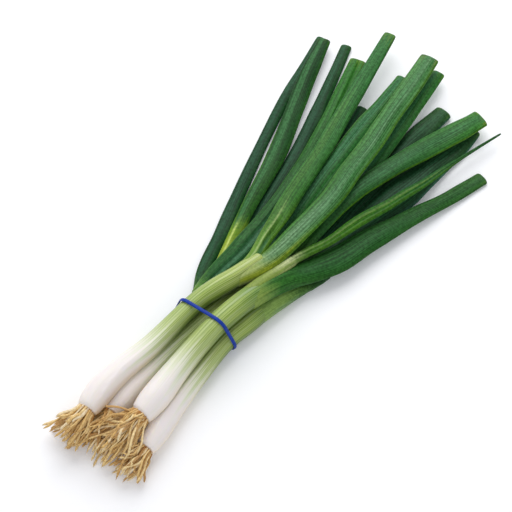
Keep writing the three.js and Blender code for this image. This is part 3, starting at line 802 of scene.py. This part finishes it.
root_material = root_skin()
draw = np.random.RandomState(7)
for number, (rows, tuft) in enumerate(zip(STALKS, TUFTS), start=1):
    count, reach, spread, fan, lift, curl, thickness = tuft
    first, second = (np.array(row[:3], float) for row in rows[:2])
    out = (first - second) / np.linalg.norm(first - second)
    foot_radius = rows[0][3]
    plate_rows = [
        (*(first - out * 0.6), foot_radius * 0.9), (*(first + out * 0.8), foot_radius * 0.86),
        (*(first + out * 1.8), foot_radius * 0.6), (*(first + out * 2.2), foot_radius * 0.1),
    ]

    def plate_section(t, angle, radius):
        """A slightly wavy round, closed at both ends."""
        closed = np.where((t < POLE) | (t > 1 - POLE), 0, 1)
        size = radius * (1 + 0.04 * np.sin(7 * angle + 3 * t)) * closed
        return size * np.sin(angle), size * np.cos(angle), 0 * t

    tuft_piece = rolled_sheet(
        f"onion_{number}_root_tuft", PLATE_SIDES, PLATE_STEPS, plate_rows, plate_section,
    )
    tint = tuft_piece.data.attributes.new("tint", "FLOAT", "POINT")
    tint.data.foreach_set("value", np.zeros(len(tuft_piece.data.vertices)))
    strands = []
    for n in range(count):
        angle = GOLDEN_ANGLE * n
        ring = math.sqrt((n + 0.5) / count)
        seat = np.array([0, math.cos(angle), math.sin(angle)]) * ring * (foot_radius - 0.1)
        share = draw.uniform(SHORTEST_STRAND, 1.0)
        stray = draw.uniform(-1, 1, 3)
        start = first + seat * 0.98 - out * 1.0
        leave = first + seat * 1.25 + out * 5 + UP * lift
        end = first + seat * fan + np.array(reach) * share + np.array(spread) * stray
        phase = draw.uniform(0, 2 * math.pi, 3)
        knots = []
        for k in range(STRAND_KNOTS):
            s = k / (STRAND_KNOTS - 1)
            point = start * (1 - s) ** 2 + 2 * leave * s * (1 - s) + end * s**2
            point = point + curl * s * np.sin(phase + 7 * s * (1 + 0.3 * stray))
            width = thickness * draw.uniform(0.85, 1.15) * (1 - 0.2 * s)
            point[0] = max(FURTHEST_X, point[0])
            point[2] = max(width / 2, point[2])
            knots.append((*point, width))

        def strand_section(t, angle, width):
            """A twisted and wrinkled oval, closed at both ends."""
            end_cap = np.where((t < POLE) | (t > 1 - POLE), 0, 1)
            wrinkle = 1 + 0.12 * np.sin(60 * t + 5 * stray[0])
            size = width / 2 * wrinkle * end_cap
            twist = 2 * stray[1] + 1.5 * t
            wide = size * np.sin(angle)
            thin = STRAND_FLATNESS * size * np.cos(angle)
            across = wide * np.cos(twist) - thin * np.sin(twist)
            upward = wide * np.sin(twist) + thin * np.cos(twist)
            return across, upward, 0 * t

        strand = rolled_sheet(
            f"strand_{number}_{n}", STRAND_SIDES, STRAND_STEPS, knots, strand_section,
        )
        tint = strand.data.attributes.new("tint", "FLOAT", "POINT")
        tint.data.foreach_set("value", np.full(len(strand.data.vertices), draw.uniform(0, 1)))
        strands.append(strand)
    bpy.ops.object.select_all(action="DESELECT")
    for strand in strands:
        strand.select_set(True)
    tuft_piece.select_set(True)
    bpy.context.view_layer.objects.active = tuft_piece
    bpy.ops.object.join()
    finish_piece(tuft_piece, root_material, f"onion_{number}_roots")

# Rubber band: one flat, slightly twisted loop of blue rubber, stretched round all
# five stalks, so that it runs straight between the ones that it presses on.

BAND_X = -54.8
BAND_LEAN = -0.03
BAND_WIDTH = 2.3
BAND_THICKNESS = 1.1
BAND_TWIST = 0.5
GAP = 0.35
RING = 10
# Dust on the rubber: so many specks to the metre, about 1.1 mm each
BAND_DUST = 900


def band_rubber():
    """Vulcanised rubber: even blue with a dull sheen and a faint bloom of dust."""
    material, shader = new_material("vulcanised rubber, blue")
    place = node(material, "ShaderNodeTexCoord").outputs["Object"]
    dust = node(
        material, "ShaderNodeTexNoise", Vector=place, Scale=BAND_DUST, Detail=4.0,
    ).outputs["Fac"]
    ramp = node(material, "ShaderNodeValToRGB", {"stops": [
        (0.3, "#0a2c88"), (0.7, "#123ea4"),
    ]}, Fac=dust)
    material.node_tree.links.new(ramp.outputs["Color"], shader.inputs["Base Color"])
    bump = node(material, "ShaderNodeBump", Strength=0.2, Distance=0.1 * MM, Height=dust)
    material.node_tree.links.new(bump.outputs["Normal"], shader.inputs["Normal"])
    shader.inputs["Roughness"].default_value = 0.5
    shader.inputs["IOR"].default_value = 1.52
    shader.inputs["Specular IOR Level"].default_value = 0.2
    return material


# The stalks at the band, as circles that the middle of the rubber runs round
circles = []
for rows in STALKS:
    samples, _ = along(rows, np.linspace(0, 1, 500))
    at_band = samples[np.argmin(np.abs(samples[:, 0] - BAND_X))]
    circles.append((at_band[1], at_band[2], at_band[3] + GAP + BAND_THICKNESS / 2))
middle_y = sum(circle[0] for circle in circles) / len(circles)

bpy.ops.mesh.primitive_torus_add(
    major_segments=180, minor_segments=14, major_radius=RING, minor_radius=1, generate_uvs=True,
)
band = bpy.context.object
band.name = "blue_rubber_band"
band.data.name = band.name
flat = np.empty(3 * len(band.data.vertices))
band.data.vertices.foreach_get("co", flat)
flat = flat.reshape(-1, 3)
angle = np.arctan2(flat[:, 1], flat[:, 0])
outward = np.hypot(flat[:, 0], flat[:, 1]) - RING
for i, (a, push, width) in enumerate(zip(angle, outward, flat[:, 2])):
    c, s = math.cos(a), math.sin(a)
    y, z, r = max(circles, key=lambda circle: circle[0] * c + circle[1] * s + circle[2])
    turn = BAND_TWIST * math.sin(3 * a + 1)
    thick = BAND_THICKNESS / 2 * (push * math.cos(turn) - width * math.sin(turn))
    wide = BAND_WIDTH / 2 * (width * math.cos(turn) + push * math.sin(turn))
    flat[i] = (
        BAND_X + BAND_LEAN * (y + r * c - middle_y) + wide + SHIFT_X,
        y + (r + thick) * c,
        z + (r + thick) * s,
    )
band.data.vertices.foreach_set("co", (flat * MM).ravel())
band.data.update()
close_seams(band)
refine(band, "SUBSURF", levels=1, render_levels=1)
finish_piece(band, band_rubber(), "rubber_band")

# Table and light: a plain white card under one large soft light from beyond the leaf
# tips, a weaker one from the root end, and an even white surrounding. The card glows
# a little, so that the shadows on it stay pale.

FLOOR_SIZE = 4
FLOOR_GLOW = 0.09
FLOOR_GRAIN = 300
SURROUNDING = 0.58
LIGHTS = [
    ("soft_key", (0.62, 0.6, 0.9), 1.3, 13.6),
    ("soft_fill", (-0.7, -0.6, 0.5), 1.0, 1.8),
]

bpy.ops.mesh.primitive_plane_add(size=FLOOR_SIZE)
floor = bpy.context.object
floor.name = "floor"
floor_material, floor_shader = new_material("matt white card")
grain = node(
    floor_material, "ShaderNodeTexNoise", Scale=FLOOR_GRAIN,
    Vector=node(floor_material, "ShaderNodeTexCoord").outputs["Object"],
)
grain_ramp = node(floor_material, "ShaderNodeValToRGB", {"stops": [
    (0.0, "#f6f6f8"), (1.0, "#fafafa"),
]}, Fac=grain.outputs["Fac"])
floor_material.node_tree.links.new(grain_ramp.outputs["Color"], floor_shader.inputs["Base Color"])
floor_shader.inputs["Roughness"].default_value = 0.9
floor_shader.inputs["Emission Color"].default_value = linear("#f2f4ff")
floor_shader.inputs["Emission Strength"].default_value = FLOOR_GLOW
floor.data.materials.append(floor_material)

for name, place, size, energy in LIGHTS:
    bpy.ops.object.light_add(type="AREA", location=place)
    light = bpy.context.object
    light.name = name
    light.data.shape = "DISK"
    light.data.size = size
    light.data.energy = energy
    light.rotation_euler = (-light.location).to_track_quat("-Z", "Y").to_euler()

world = bpy.data.worlds.new("white studio")
world.use_nodes = True
world.node_tree.nodes["Background"].inputs["Color"].default_value = linear("#f3f5f9")
world.node_tree.nodes["Background"].inputs["Strength"].default_value = SURROUNDING
bpy.context.scene.world = world
bpy.context.scene.view_settings.view_transform = "Standard"
